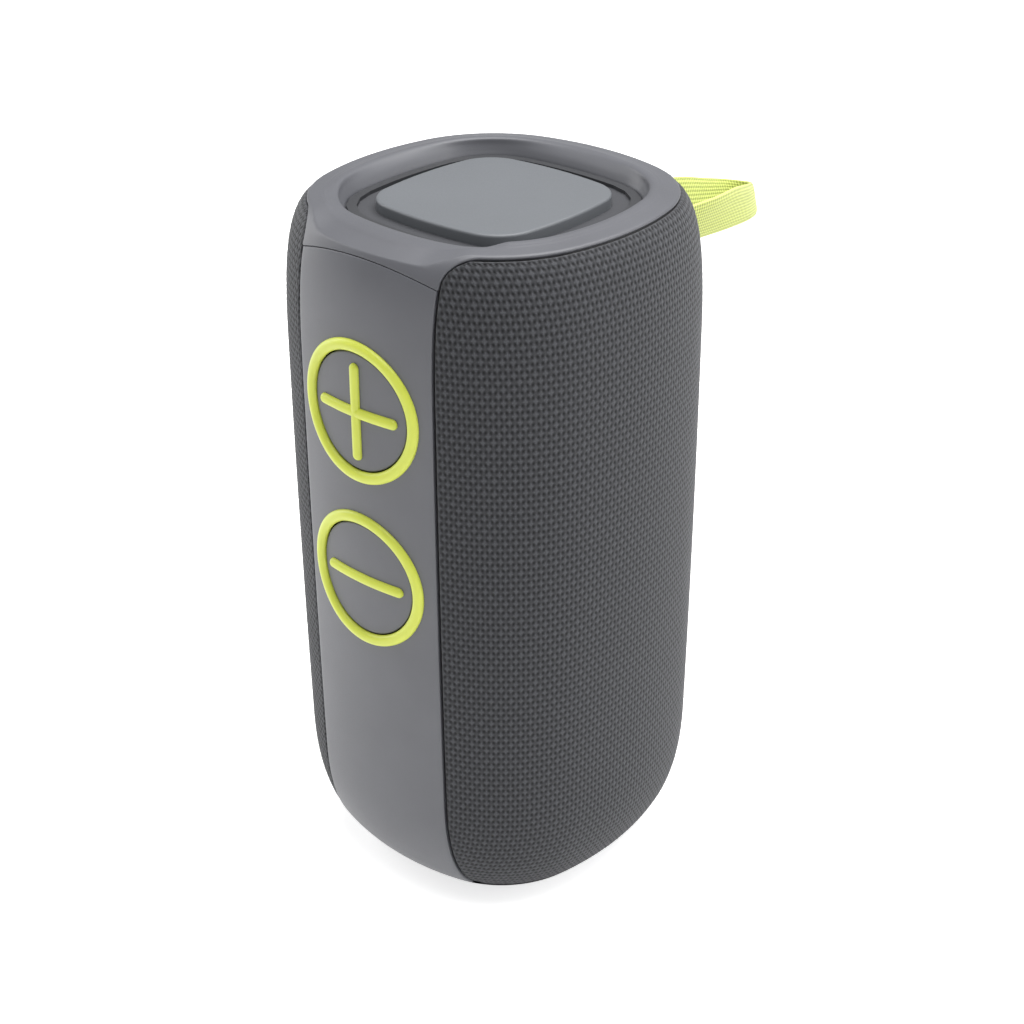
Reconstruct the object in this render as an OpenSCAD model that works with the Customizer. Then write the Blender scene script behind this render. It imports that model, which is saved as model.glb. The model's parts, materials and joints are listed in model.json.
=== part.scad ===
// Portable speaker: rounded-square tower with a soft top rim, a sprung top radiator,
// two button strips, two fabric sides, a webbing loop and everything it holds inside.
// The control strip faces -Y, the fabric sides face -X and +X, the loop leaves +Y.

/* [Body] */
// Height from the ground to the rim's crest
body_h = 151.4; // [140:0.2:185]
// Half of the width across the flats
half_w = 40; // [38:0.2:48]
// Radius of the four side arcs, seen from above
side_r = 61.5; // [55:0.5:90]
// Radius of the four corner arcs, seen from above
corner_r = 31; // [29:0.5:34]
// Half width at the rim's crest
crest_half = 28.7; // [28:0.1:32]
// Height over which the shoulder rolls in to the crest
shoulder_h = 36.8; // [25:0.2:42]
// How square the shoulder's roll is
shoulder_n = 3.7; // [2:0.1:5]
// How far the foot end rolls in
foot_inset = 20; // [14:0.5:22]
// Height over which the foot end rolls in
foot_roll_h = 31.3; // [20:0.1:36]
// How square the foot end's roll is
foot_n = 2.5; // [2:0.1:4]
// Barrel: how much slimmer the ends are than the middle
barrel = 0.6; // [0:0.1:1.5]

/* [Skins] */
// Thickness of the fabric skin
cloth_t = 0.9; // [0.6:0.1:1.4]
// Thickness of the perforated grille behind it
grille_t = 1.5; // [1:0.1:2]
// Wall of the inner housing
wall_t = 2.6; // [2:0.1:3.5]
// Half width of the two control strips
strip_half = 17.7; // [16.5:0.1:19]
// Gap between a strip or rim and the fabric
skin_gap = 0.4; // [0.2:0.1:0.8]
// Height where the fabric stops below the rim
fabric_drop = 1.4; // [1:0.1:3]
// Height of the fabric's lower edge
fabric_foot = 4.2; // [3.8:0.1:8]
// Corner radius of the fabric panels
fabric_corner = 4.5; // [2:0.5:8]
// Depth below the crest of the arched seam over each strip
seam_drop = 4.3; // [3.6:0.1:8]
// Radius of that arched seam
seam_r = 63; // [50:1:120]

/* [Buttons] */
// Height of the plus button
plus_z = 116.5; // [110:0.5:120]
// Height of the minus button
minus_z = 79.5; // [76:0.5:84]
// Bore of the trim ring round a button
ring_bore_r = 12.55; // [11:0.05:13]
// Outer radius of the trim ring
ring_r = 14.85; // [13.5:0.05:16]
// How far the trim ring and the symbols stand proud
bead_h = 0.8; // [0.4:0.1:1.2]
// Length of the symbol bars
bar_len = 20.5; // [16:0.1:21.5]
// Width of the symbol bars
bar_w = 2.1; // [1.5:0.1:3]
// Travel of the plus and minus keys
key_travel = 0.7; // [0.4:0.1:0.8]
// Height of the power key
power_z = 62; // [58:0.5:66]
// Radius of the power key
power_r = 4.6; // [4:0.1:6]

/* [Top radiator] */
// Half width of the recess inside the rim
recess_half = 25.6; // [24:0.1:27]
// Depth of the recess below the crest
recess_depth = 2.9; // [2.5:0.1:4]
// Half width of the light plate
plate_half = 19.85; // [17:0.05:21]
// Thickness of the light plate
plate_t = 1.6; // [1.2:0.1:2.2]
// How far the plate's face lies below the crest
plate_drop = 2.3; // [2:0.1:3]

/* [Drivers] */
// Height of both drivers' axis
driver_z = 99; // [96:0.5:102]
// Radius of a driver's flange
flange_r = 23.5; // [22:0.1:24]
// Distance from the middle plane to a flange's back face
baffle_x = 30.2; // [29:0.1:31]
// Radius of a driver's magnet
magnet_r = 13; // [11:0.1:15]

/* [Ports and loop] */
// Height of the port cover's middle
port_z = 34; // [32:0.5:38]
// Width of the port cover
port_w = 26; // [24:0.5:28]
// Height of the port cover
port_h = 13; // [12:0.5:15]
// Height of the webbing loop's middle
loop_z = 132; // [129:0.5:133]
// How far the webbing loop reaches from the middle plane
loop_reach = 90; // [70:1:100]
// Width of the webbing
web_w = 10; // [8:0.5:11]
// Thickness of the webbing
web_t = 1.4; // [1:0.1:1.6]

/* [Battery] */
// Radius of a battery cell
cell_r = 9.2; // [8.5:0.1:9.5]
// Length of a battery cell
cell_l = 65; // [60:0.5:66]

/* [Hidden] */

RIGHT = 1;
LEFT = -1;
FRONT = -1;
REAR = 1;
FAR = 200;                       // larger than the whole speaker
SIDE_STEPS = 6;                  // flats along each side arc of the body's section
CORNER_STEPS = 4;                // flats along each corner arc
GRILLE_PITCH = 8;
GRILLE_HOLE = 5.6;

fit = 0.3;                       // clearance between parts that move past each other
slip = 0.1;                      // clearance between parts that are only pushed together
strip_t = cloth_t + grille_t;    // a strip is as thick as cloth and grille together
house_d = strip_t + 2 * slip;    // inset of the housing's outside
cavity_d = house_d + wall_t;     // inset of the housing's inside
draft = 0.27;                    // the top end is this much wider than the foot end
mid_z = body_h / 2;

recess_z = body_h - recess_depth;
clamp_t = 0.7;                   // thickness of the radiator's clamp frame
rubber_t = 0.4;                  // thickness of the radiator's rubber
deck_top = recess_z - rubber_t - clamp_t;
deck_t = 2.8;
deck_half = recess_half - 1.9;   // half width of the opening in the deck
plate_top = body_h - plate_drop;
plate_foot = plate_top - plate_t;
seam_z = body_h - seam_drop;
fabric_top = body_h - fabric_drop;

shell_foot = 0.6;                // the shell stands this far clear of the ground
base_top = 3.8;                  // top face of the base cap
pad_top = 1.6;                   // top face of the foot pad
pad_half = 22;
floor_t = 2.4;                   // floor of the housing, on the base cap
floor_top = base_top + floor_t;

screw_at = 14.5;                 // base screws, from the middle planes
screw_r = 1.2;
head_r = 2.2;
head_h = 1.2;
screw_l = 9;

pocket_half = 15.2;              // half width of the button and board pockets
pocket_wall = 2;
pad_h = 0.6;                     // pads that a board stands on
board_t = 1.2;
board_screw_r = 0.8;
board_head_r = 1.5;
button_floor_y = half_w - 9.8;   // floor of the button pocket, from the middle plane
button_board_y = button_floor_y + pad_h;
button_pocket = [minus_z - ring_r - 3, plus_z + ring_r + 2];
main_floor_y = half_w - 12.6;    // floor of the main board's pocket
main_board_y = main_floor_y + pad_h;
led_z = power_z + 12;
led_r = 1.2;
main_pocket = [16, led_z + 5];

ring_seat = 1.2;                 // depth of a trim ring's rebate
symbol_seat = 0.6;               // depth of a symbol's groove
key_r = ring_bore_r - fit;
key_foot_y = half_w - 5.3;       // back of a key's flange
key_flange_t = 1;
run_fit = 0.08;                  // radial clearance of a plunger in its switch
switch_w = 6;
switch_h = 1.5;
plunger_r = 1.7;
stem_r = 1.6;
power_travel = 0.5;
power_switch_h = 3.4;
power_flange_y = half_w - 4;

port_r = 3;
cover_t = 1.5;
socket_mouth_y = half_w - 2.8;
usb_x = -6;
aux_x = 6.5;

pin_r = 1.25;
pin_y = half_w - 5.2;
pin_loop_r = 2.2;                // inside radius of the webbing round its pin
window_w = 2 * (pin_loop_r + web_t) + 4;    // window that the webbing leaves through
window_h = web_w + 4;
tip_r = 7;                       // outside radius of the loop's far end
loop_droop = 8;                  // the loop hangs this many degrees below level
loop_pocket_y = pin_y - pin_loop_r - web_t - 1;

well_r = flange_r + 0.5;
bore_r = flange_r - 2.9;
flange_t = 1.2;
driver_screw_at = (bore_r + flange_r) / 2;
basket_r = bore_r - 0.4;
basket_wall = 0.9;
basket_in_r = basket_r - basket_wall;
coil_r = 5.7;
coil_wall = 0.5;
cone_r = 16.4;
paper_t = 0.5;

cell_x = cell_r + 0.4;
cradle_t = 2;

// Section of the body: side arcs and corner arcs that meet on a tangent
function corner_centre(half, rs, rc) = let (k = rs - half)
    (sqrt(8 * pow(rs - rc, 2) - 4 * pow(k, 2)) - 2 * k) / 4;
function side_angle(half, rs, rc) = let (c = corner_centre(half, rs, rc))
    atan2(c, c + rs - half);
function turned(p, a) = [p.x * cos(a) - p.y * sin(a), p.x * sin(a) + p.y * cos(a)];
function arc_points(centre, r, from, to, steps) =
    [for (i = [0 : steps - 1]) let (t = from + (to - from) * i / steps)
        centre + r * [sin(t), -cos(t)]];
function rounded_square(half, rs, rc) =
    let (c = corner_centre(half, rs, rc), s = side_angle(half, rs, rc))
    [for (q = [0 : 3], p = concat(arc_points([0, rs - half], rs, -s, s, SIDE_STEPS),
        arc_points([c, -c], rc, s, 90 - s, CORNER_STEPS))) turned(p, 90 * q)];
function section(half) =
    rounded_square(half, side_r - half_w + half, corner_r - half_w + half);

// Half width of the body's outside at height z
function roll(t, n) = pow(max(0, 1 - pow(t, n)), 1 / n);
function body_half(z) =
    let (f = (z - mid_z) / mid_z,
        up = (z - body_h + shoulder_h) / shoulder_h,
        down = (foot_roll_h - z) / foot_roll_h)
    draft * f - barrel * f * f + (
        up > 0 ? crest_half + (half_w - crest_half) * roll(min(1, up), shoulder_n)
        : down > 0 ? half_w - foot_inset + foot_inset * roll(min(1, down), foot_n)
        : half_w);

// Heights at which the body's outside is faceted, as shares of the whole
SHARES = [0.012, 0.026, 0.048, 0.08, 0.13, 0.2, 0.4, 0.65, 0.77, 0.86, 0.91, 0.944,
    0.966, 0.981, 0.991];
function levels(z0, z1) = concat([z0],
    [for (t = SHARES) let (z = t * body_h) if (z > z0 + 0.4 && z < z1 - 0.2) z], [z1]);

module loft(rings, heights) {
    n = len(rings[0]);
    m = len(rings);
    polyhedron(
        points = [for (j = [0 : m - 1], p = rings[j]) [p.x, p.y, heights[j]]],
        faces = concat(
            [[for (i = [0 : n - 1]) i]],
            [for (j = [0 : m - 2], i = [0 : n - 1]) let (k = (i + 1) % n)
                [j * n + i, (j + 1) * n + i, (j + 1) * n + k, j * n + k]],
            [[for (i = [n - 1 : -1 : 0]) (m - 1) * n + i]]));
}
// The body's solid between two heights, inset by d
module body(z0, z1, d = 0) {
    heights = levels(z0, z1);
    loft([for (z = heights) section(body_half(z) - d)], heights);
}
// A layer of the body's wall, from inset d0 to inset d1
module skin(z0, z1, d0, d1)
    difference() {
        body(z0, z1, d0);
        body(z0 - slip, z1 + slip, d1);
    }
module slab(half, rs, rc, z0, z1)
    translate([0, 0, z0]) linear_extrude(z1 - z0) polygon(rounded_square(half, rs, rc));
module recess_slab(half, z0, z1) slab(half, 3.5 * half, 0.55 * half, z0, z1);
module plate_slab(half, z0, z1) slab(half, 3.95 * half, 0.453 * half, z0, z1);
module block(x0, x1, y0, y1, z0, z1)
    translate([x0, y0, z0]) cube([x1 - x0, y1 - y0, z1 - z0]);
// A cylinder along Y, from y0 to y1
module rod_y(x, z, r, y0, y1, sides = 96)
    translate([x, y0, z]) rotate([-90, 0, 0]) cylinder(r = r, h = y1 - y0, $fn = sides);
// A plain prism along Y over an outline in X and Z
module along_y(y0, y1)
    translate([0, y1, 0]) rotate([90, 0, 0]) linear_extrude(y1 - y0) children();
// Turns what is drawn for the +Y face to the face asked for
module facing(side) rotate([0, 0, side == REAR ? 0 : 180]) children();
module base_screw_places()
    for (x = [-screw_at, screw_at], y = [-screw_at, screw_at]) translate([x, y, 0]) children();

// The fabric panel's outline seen from the front: all that lies to one side of the strips
module fabric_zone(side, grow = 0) {
    x0 = strip_half + skin_gap - grow;
    z0 = fabric_foot - grow;
    z1 = fabric_top + grow;
    r = fabric_corner + grow;
    mirror([side == RIGHT ? 0 : 1, 0, 0]) along_y(-FAR / 2, FAR / 2) {
        translate([x0 + r, z0]) square([FAR, z1 - z0]);
        translate([x0, z0 + r]) square([r + 1, z1 - z0 - 2 * r]);
        translate([x0 + r, z0 + r]) circle(r, $fn = 48);
        translate([x0 + r, z1 - r]) circle(r, $fn = 48);
    }
}
// What lies under the arched seam over a strip, seen from the front
module under_seam(w, z0, top) {
    spring = top - seam_r / 2;
    translate([-w, z0]) square([2 * w, spring - z0]);
    intersection() {
        translate([-w, spring - 1]) square([2 * w, seam_r]);
        translate([0, top - seam_r]) circle(seam_r, $fn = 360);
    }
}
// Outer shell -------------------------------------------------------------
module top_rim() color("#5d5e63") {
    skirt_foot = seam_z - seam_r + sqrt(seam_r * seam_r - strip_half * strip_half) - skin_gap;
    difference() {
        body(skirt_foot, body_h);
        body(skirt_foot - 1, deck_top, strip_t + slip);
        recess_slab(recess_half, deck_top - 1, body_h + 1);
        difference() {
            union() for (side = [LEFT, RIGHT]) {
                fabric_zone(side, skin_gap);
                facing(side) along_y(0, FAR)
                    under_seam(strip_half + 2 * skin_gap, 0, seam_z + skin_gap / 2);
            }
            body(skirt_foot - 2, body_h - skin_gap, strip_t + slip);
        }
    }
}
module strip_blank()
    intersection() {
        skin(fabric_foot, seam_z, 0, strip_t);
        along_y(0, FAR) under_seam(strip_half, 0, seam_z - skin_gap / 2);
    }
// One button's hole and the rebate that its trim ring sits in
module button_hole(z) {
    rod_y(0, z, ring_bore_r, half_w - 12, half_w + 5);
    difference() {
        rod_y(0, z, ring_r + slip / 2, half_w - 12, half_w + 5);
        button_body(z, ring_seat);
    }
}
module button_body(z, d) body(z - ring_r - 2, z + ring_r + 2, d);
module front_strip() color("#616267")
    facing(FRONT) difference() {
        strip_blank();
        button_hole(plus_z);
        button_hole(minus_z);
    }
module rear_strip() color("#616267")
    difference() {
        strip_blank();
        block(-window_w / 2, window_w / 2, half_w - 10, half_w + 5,
            loop_z - window_h / 2, loop_z + window_h / 2);
        port_prism(fit);
        rod_y(0, power_z, power_r + fit, half_w - 10, half_w + 5);
        rod_y(0, led_z, led_r, half_w - 10, half_w + 5, 32);
    }
module base_cap() color("#55565b")
    difference() {
        body(shell_foot, base_top);
        plate_slab(pad_half + fit, -1, pad_top);
        base_screw_places() {
            cylinder(r = screw_r + slip, h = base_top + 1, $fn = 32);
            cylinder(r = head_r + slip, h = pad_top + head_h, $fn = 32);
        }
    }
module foot_pad() color("#2c2c2e") plate_slab(pad_half, 0, pad_top);
module base_screws() color("silver")
    base_screw_places() translate([0, 0, pad_top]) {
        cylinder(r = head_r, h = head_h, $fn = 32);
        cylinder(r = screw_r, h = head_h + screw_l, $fn = 32);
    }

// Fabric sides ------------------------------------------------------------
module cloth(side) color("#3f4046")
    intersection() {
        skin(fabric_foot, fabric_top, 0, cloth_t);
        fabric_zone(side);
    }
module grille(side) color("#2b2c2f")
    difference() {
        intersection() {
            skin(fabric_foot, fabric_top, cloth_t + slip / 2, strip_t);
            fabric_zone(side);
        }
        for (i = [-2 : 2], j = [-2 : 2])
            translate([side == RIGHT ? 0 : -FAR, i * GRILLE_PITCH - GRILLE_HOLE / 2,
                driver_z + j * GRILLE_PITCH - GRILLE_HOLE / 2])
                cube([FAR, GRILLE_HOLE, GRILLE_HOLE]);
    }

// Housing: a closed tube with two driver wells and three pockets ------------
module pocket_shell(y_in, z0, z1, half)
    block(-half - pocket_wall, half + pocket_wall, y_in - pocket_wall, FAR,
        z0 - pocket_wall, z1 + pocket_wall);
// What stands into the housing's cavity: driver bosses, pockets and screw bosses
module housing_lumps() {
    for (side = [LEFT, RIGHT]) driver_axis(side)
        translate([0, 0, baffle_x - 3]) cylinder(r = well_r + 2, h = FAR, $fn = 96);
    facing(FRONT) pocket_shell(button_floor_y, button_pocket[0], button_pocket[1], pocket_half);
    pocket_shell(main_floor_y, main_pocket[0], main_pocket[1], pocket_half);
    pocket_shell(loop_pocket_y, loop_z - window_h / 2, deck_top, window_w / 2);
    base_screw_places() cylinder(r = screw_r + 2, h = base_top + screw_l, $fn = 48);
}
module housing() color("#3a3b3e") {
    difference() {
        body(base_top, deck_top, house_d);
        difference() {
            body(floor_top, deck_top - deck_t, cavity_d);
            housing_lumps();
        }
        for (side = [LEFT, RIGHT]) driver_axis(side) {
            translate([0, 0, baffle_x]) cylinder(r = well_r, h = FAR, $fn = 96);
            translate([0, 0, baffle_x - 4]) cylinder(r = bore_r, h = FAR, $fn = 96);
            driver_screw_places() translate([0, 0, baffle_x - 4])
                cylinder(r = 0.8, h = 5, $fn = 24);
        }
        facing(FRONT) block(-pocket_half, pocket_half, button_floor_y, FAR,
            button_pocket[0], button_pocket[1]);
        block(-pocket_half, pocket_half, main_floor_y, FAR, main_pocket[0], main_pocket[1]);
        block(-window_w / 2, window_w / 2, loop_pocket_y, FAR,
            loop_z - window_h / 2, loop_z + window_h / 2);
        translate([0, pin_y, loop_z - window_h / 2 - 1.5])
            cylinder(r = pin_r, h = window_h + 3, $fn = 48);
        recess_slab(deck_half, deck_top - deck_t - 1, deck_top + 1);
        base_screw_places() cylinder(r = screw_r, h = pad_top + head_h + screw_l + 0.2, $fn = 32);
        board_screw_holes();
    }
    difference() {
        board_pads();
        board_screw_holes();
    }
}
function button_screw_spots() = [for (x = [-11.5, 11.5], z = [button_pocket[0] + 3.5,
    button_pocket[1] - 3.5]) [x, z]];
function main_screw_spots() = [for (x = [-12, 12], z = [main_pocket[0] + 4,
    main_pocket[1] - 6]) [x, z]];
module board_pads() {
    facing(FRONT) for (p = button_screw_spots())
        rod_y(p.x, p.y, 1.6, button_floor_y, button_board_y, 32);
    for (p = main_screw_spots()) rod_y(p.x, p.y, 1.6, main_floor_y, main_board_y, 32);
}
module board_screw_holes() {
    facing(FRONT) for (p = button_screw_spots())
        rod_y(p.x, p.y, board_screw_r, button_floor_y - 1.5, button_board_y + 1, 24);
    for (p = main_screw_spots())
        rod_y(p.x, p.y, board_screw_r, main_floor_y - 1.5, main_board_y + 1, 24);
}
module board_screw(p, y) {
    rod_y(p.x, p.y, board_head_r, y + board_t, y + board_t + 0.9, 24);
    rod_y(p.x, p.y, board_screw_r, y - pad_h - 1.4, y + board_t + 0.9, 24);
}
module board_screws() color("silver") {
    facing(FRONT) for (p = button_screw_spots()) board_screw(p, button_board_y);
    for (p = main_screw_spots()) board_screw(p, main_board_y);
}

// Buttons -----------------------------------------------------------------
module board(y, z0, z1, half, spots)
    difference() {
        block(-half, half, y, y + board_t, z0, z1);
        for (p = spots) rod_y(p.x, p.y, board_screw_r + slip, y - 1, y + board_t + 1, 24);
    }
module button_board() color("#1f5a34")
    facing(FRONT) board(button_board_y, button_pocket[0] + 1, button_pocket[1] - 1,
        pocket_half - 1, button_screw_spots());
module tact_switch(z, y, h) difference() {
    block(-switch_w / 2, switch_w / 2, y, y + h, z - switch_w / 2, z + switch_w / 2);
    rod_y(0, z, plunger_r + run_fit, y + 0.4, y + h + 1, 48);
}
module button_switch(z) color("#b9bcc2")
    facing(FRONT) tact_switch(z, button_board_y + board_t, switch_h);
module button_plunger(z) color("#262628")
    facing(FRONT) plunger_at(z, button_board_y + board_t + switch_h, key_travel);
// A plunger reaches down into its switch and up to the key's stem
module plunger_at(z, y, travel) rod_y(0, z, plunger_r, y - 0.3, y + travel + run_fit, 48);
module key_stem(z, y0, y1) rod_y(0, z, stem_r, y0, y1, 48);
module symbol_bars(cross) {
    for (a = cross ? [0, 90] : [0]) rotate(a) {
        square([bar_len - bar_w, bar_w], center = true);
        for (x = [-1, 1]) translate([x * (bar_len - bar_w) / 2, 0]) circle(bar_w / 2, $fn = 32);
    }
}
module symbol_prism(z, cross) along_y(half_w - 10, half_w + 5)
    translate([0, z]) symbol_bars(cross);
module key(z, cross) color("#616267")
    facing(FRONT) {
        difference() {
            intersection() {
                rod_y(0, z, key_r, key_foot_y + key_flange_t / 2, half_w + 5);
                button_body(z, 0);
            }
            rod_y(0, z, key_r - 3, 0, half_w - 3.4);
            difference() {
                symbol_prism(z, cross);
                button_body(z, symbol_seat);
            }
        }
        difference() {
            rod_y(0, z, key_r + 1.2, key_foot_y, key_foot_y + key_flange_t);
            rod_y(0, z, key_r - 3, 0, half_w);
        }
        key_stem(z, button_board_y + board_t + switch_h + key_travel + run_fit, half_w - 3);
    }
module symbol(z, cross) color("#c9d65c")
    facing(FRONT) difference() {
        intersection() {
            symbol_prism(z, cross);
            button_body(z, -bead_h);
        }
        button_body(z, symbol_seat);
    }
module trim_ring(z) color("#c9d65c")
    facing(FRONT) difference() {
        intersection() {
            rod_y(0, z, ring_r, half_w - 12, half_w + 5);
            button_body(z, -bead_h);
        }
        button_body(z, ring_seat);
        rod_y(0, z, ring_bore_r, half_w - 13, half_w + 6);
    }
module plus_key() key(plus_z, true);
module minus_key() key(minus_z, false);
module plus_symbol() symbol(plus_z, true);
module minus_symbol() symbol(minus_z, false);
module plus_ring() trim_ring(plus_z);
module minus_ring() trim_ring(minus_z);
module plus_switch() button_switch(plus_z);
module minus_switch() button_switch(minus_z);
module plus_plunger() button_plunger(plus_z);
module minus_plunger() button_plunger(minus_z);

// Rear: main board, sockets, power key and cover -----------------------------
board_face_y = main_board_y + board_t;
module main_board() color("#1f5a34")
    board(main_board_y, main_pocket[0] + 1.5, main_pocket[1] - 1.5, pocket_half - 1,
        main_screw_spots());
module board_chips() color("#26272a") {
    block(-5, 5, board_face_y, board_face_y + 1.2, 45, 53);
    block(7.5, 12, board_face_y, board_face_y + 1, 46, 50);
    for (x = [-11, -8]) rod_y(x, 49, 1.2, board_face_y, board_face_y + 3, 32);
}
module usb_outline(w, h) {
    square([w - h, h], center = true);
    for (x = [-1, 1]) translate([x * (w - h) / 2, 0]) circle(h / 2, $fn = 32);
}
module usb_socket() color("silver") {
    difference() {
        along_y(board_face_y, socket_mouth_y) translate([usb_x, port_z]) usb_outline(9, 3.3);
        along_y(socket_mouth_y - 6, socket_mouth_y + 1)
            translate([usb_x, port_z]) usb_outline(8.3, 2.6);
    }
    block(usb_x - 3.3, usb_x + 3.3, socket_mouth_y - 6.5, socket_mouth_y - 0.8,
        port_z - 0.35, port_z + 0.35);
}
module aux_socket() color("#1e1e20")
    difference() {
        rod_y(aux_x, port_z, 3, board_face_y, socket_mouth_y, 48);
        rod_y(aux_x, port_z, 1.8, board_face_y - 1, socket_mouth_y + 1, 48);
    }
module power_switch() color("#b9bcc2") tact_switch(power_z, board_face_y, power_switch_h);
module power_plunger() color("#262628")
    plunger_at(power_z, board_face_y + power_switch_h, power_travel);
module power_key() color("#616267") {
    intersection() {
        rod_y(0, power_z, power_r, power_flange_y - 0.5, half_w + 5);
        body(power_z - 10, power_z + 10);
    }
    rod_y(0, power_z, power_r + 1, power_flange_y - 0.5, power_flange_y + 0.5);
    key_stem(power_z, board_face_y + power_switch_h + power_travel + run_fit, half_w - 3);
}
module led_lens() color("#dfe6ea")
    intersection() {
        rod_y(0, led_z, led_r, board_face_y, half_w + 5, 32);
        body(led_z - 5, led_z + 5);
    }
module port_prism(grow)
    along_y(half_w - 8, half_w + 5) translate([0, port_z]) {
        w = port_w / 2 + grow;
        h = port_h / 2 + grow;
        for (x = [-1, 1], z = [-1, 1]) translate([x * (w - port_r), z * (h - port_r)])
            circle(port_r, $fn = 48);
        square([2 * w, 2 * (h - port_r)], center = true);
        square([2 * (w - port_r), 2 * h], center = true);
    }
module port_cover() color("#5a5b60")
    intersection() {
        skin(port_z - port_h, port_z + port_h, 0, cover_t);
        port_prism(0);
    }

// Top radiator --------------------------------------------------------------
module radiator_frame() color("#3a3b3e")
    difference() {
        recess_slab(recess_half - slip, deck_top, deck_top + clamp_t);
        recess_slab(deck_half, deck_top - 1, recess_z + 1);
    }
// A rubber sheet: rim on the clamp frame, a sunk channel, and a foot under the plate
module radiator_surround() color("#47484c") {
    channel_z = plate_foot - rubber_t;
    difference() {
        recess_slab(recess_half - slip, recess_z - rubber_t, recess_z);
        recess_slab(deck_half - slip - rubber_t, deck_top - 5, recess_z + 1);
    }
    difference() {
        recess_slab(deck_half - slip, channel_z, recess_z - rubber_t / 2);
        recess_slab(deck_half - slip - rubber_t, channel_z + rubber_t, recess_z + 1);
        plate_slab(plate_half - 1.5, channel_z - 1, recess_z + 1);
    }
}
module radiator_plate() color("#96979b") plate_slab(plate_half, plate_foot, plate_top);
module radiator_weight() color("silver") plate_slab(plate_half - 6, plate_foot - 2.4, plate_foot);

// Drivers, drawn along +Z and laid on their sides ----------------------------
module driver_axis(side) translate([0, 0, driver_z]) rotate([0, side * 90, 0]) children();
module driver_screw_places()
    for (a = [45 : 90 : 315]) rotate(a) translate([driver_screw_at, 0, 0]) children();
plate_z = baffle_x - 12.8;       // front face of the magnet's top plate
magnet_back = baffle_x - 21.3;
module basket() color("#3b3c40")
    difference() {
        union() {
            translate([0, 0, baffle_x]) cylinder(r = flange_r, h = flange_t, $fn = 96);
            translate([0, 0, plate_z]) cylinder(r = basket_r, h = baffle_x - plate_z, $fn = 96);
        }
        translate([0, 0, plate_z + 1.2])
            cylinder(r = basket_in_r, h = FAR, $fn = 96);
        translate([0, 0, plate_z - 1]) cylinder(r = coil_r + 0.7, h = 9, $fn = 64);
        for (a = [0, 90]) rotate(a)
            block(-FAR / 2, FAR / 2, -7, 7, plate_z + 5, baffle_x - 2.2);
        driver_screw_places() translate([0, 0, baffle_x - 1])
            cylinder(r = board_screw_r + slip, h = 5, $fn = 24);
    }
module magnet() color("#8b8e93") {
    rotate_extrude($fn = 96) polygon([[0, magnet_back], [magnet_r - 1, magnet_back],
        [magnet_r - 1, magnet_back + 1.5], [magnet_r, magnet_back + 1.5],
        [magnet_r, plate_z - 2], [magnet_r - 1, plate_z - 2], [magnet_r - 1, plate_z],
        [coil_r + 0.4, plate_z], [coil_r + 0.4, plate_z - 2], [coil_r + 1.4, plate_z - 2],
        [coil_r + 1.4, magnet_back + 1.5], [coil_r - coil_wall - 0.3, magnet_back + 1.5],
        [coil_r - coil_wall - 0.3, plate_z + 1], [0, plate_z + 1]]);
}
spider_z = plate_z + 3;
coil_top = plate_z + 4.2;
module coil() color("#b87333")
    translate([0, 0, plate_z - 4.4]) difference() {
        cylinder(r = coil_r, h = coil_top - plate_z + 4.4, $fn = 64);
        translate([0, 0, -1]) cylinder(r = coil_r - coil_wall, h = FAR, $fn = 64);
    }
module spider() color("#c8a25a")
    translate([0, 0, spider_z]) difference() {
        cylinder(r = basket_in_r - slip / 2, h = 0.5, $fn = 96);
        translate([0, 0, -1]) cylinder(r = coil_r, h = 3, $fn = 64);
    }
module cone() color("#1d1d1f")
    rotate_extrude($fn = 96) polygon([[coil_r - coil_wall, coil_top], [coil_r, coil_top],
        [cone_r, baffle_x - 0.8], [cone_r, baffle_x - 0.2], [cone_r - paper_t, baffle_x - 0.2],
        [coil_r - coil_wall, coil_top + 0.8]]);
// Height of the cone's front face at radius r
function cone_front(r) = coil_top + 0.8 + (r - coil_r + coil_wall)
    * (baffle_x - 1 - coil_top) / (cone_r - paper_t - coil_r + coil_wall);
cap_r = 7.2;
cap_ball_r = 9;
cap_z = cone_front(cap_r) + slip / 2;
module dustcap() color("#242426")
    intersection() {
        translate([0, 0, cap_z - sqrt(cap_ball_r * cap_ball_r - cap_r * cap_r)]) difference() {
            sphere(cap_ball_r, $fn = 96);
            sphere(cap_ball_r - paper_t, $fn = 96);
        }
        translate([0, 0, cap_z]) cylinder(r = FAR, h = FAR, $fn = 64);
    }
roll_r = (basket_in_r - cone_r - slip) / 2;
module surround() color("#161617")
    rotate_extrude($fn = 96) {
        translate([(basket_in_r + cone_r) / 2, baffle_x - 0.2]) difference() {
            circle(roll_r, $fn = 32);
            circle(roll_r - rubber_t, $fn = 32);
            translate([-5, -5]) square([10, 5]);
        }
        for (r = [cone_r, basket_in_r - rubber_t]) translate([r, baffle_x - 0.2 - rubber_t])
            square(rubber_t);
    }
module right_basket() driver_axis(RIGHT) basket();
module right_magnet() driver_axis(RIGHT) magnet();
module right_spider() driver_axis(RIGHT) spider();
module right_coil() driver_axis(RIGHT) coil();
module right_cone() driver_axis(RIGHT) cone();
module right_dustcap() driver_axis(RIGHT) dustcap();
module right_surround() driver_axis(RIGHT) surround();
module left_basket() driver_axis(LEFT) basket();
module left_magnet() driver_axis(LEFT) magnet();
module left_spider() driver_axis(LEFT) spider();
module left_coil() driver_axis(LEFT) coil();
module left_cone() driver_axis(LEFT) cone();
module left_dustcap() driver_axis(LEFT) dustcap();
module left_surround() driver_axis(LEFT) surround();
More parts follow.
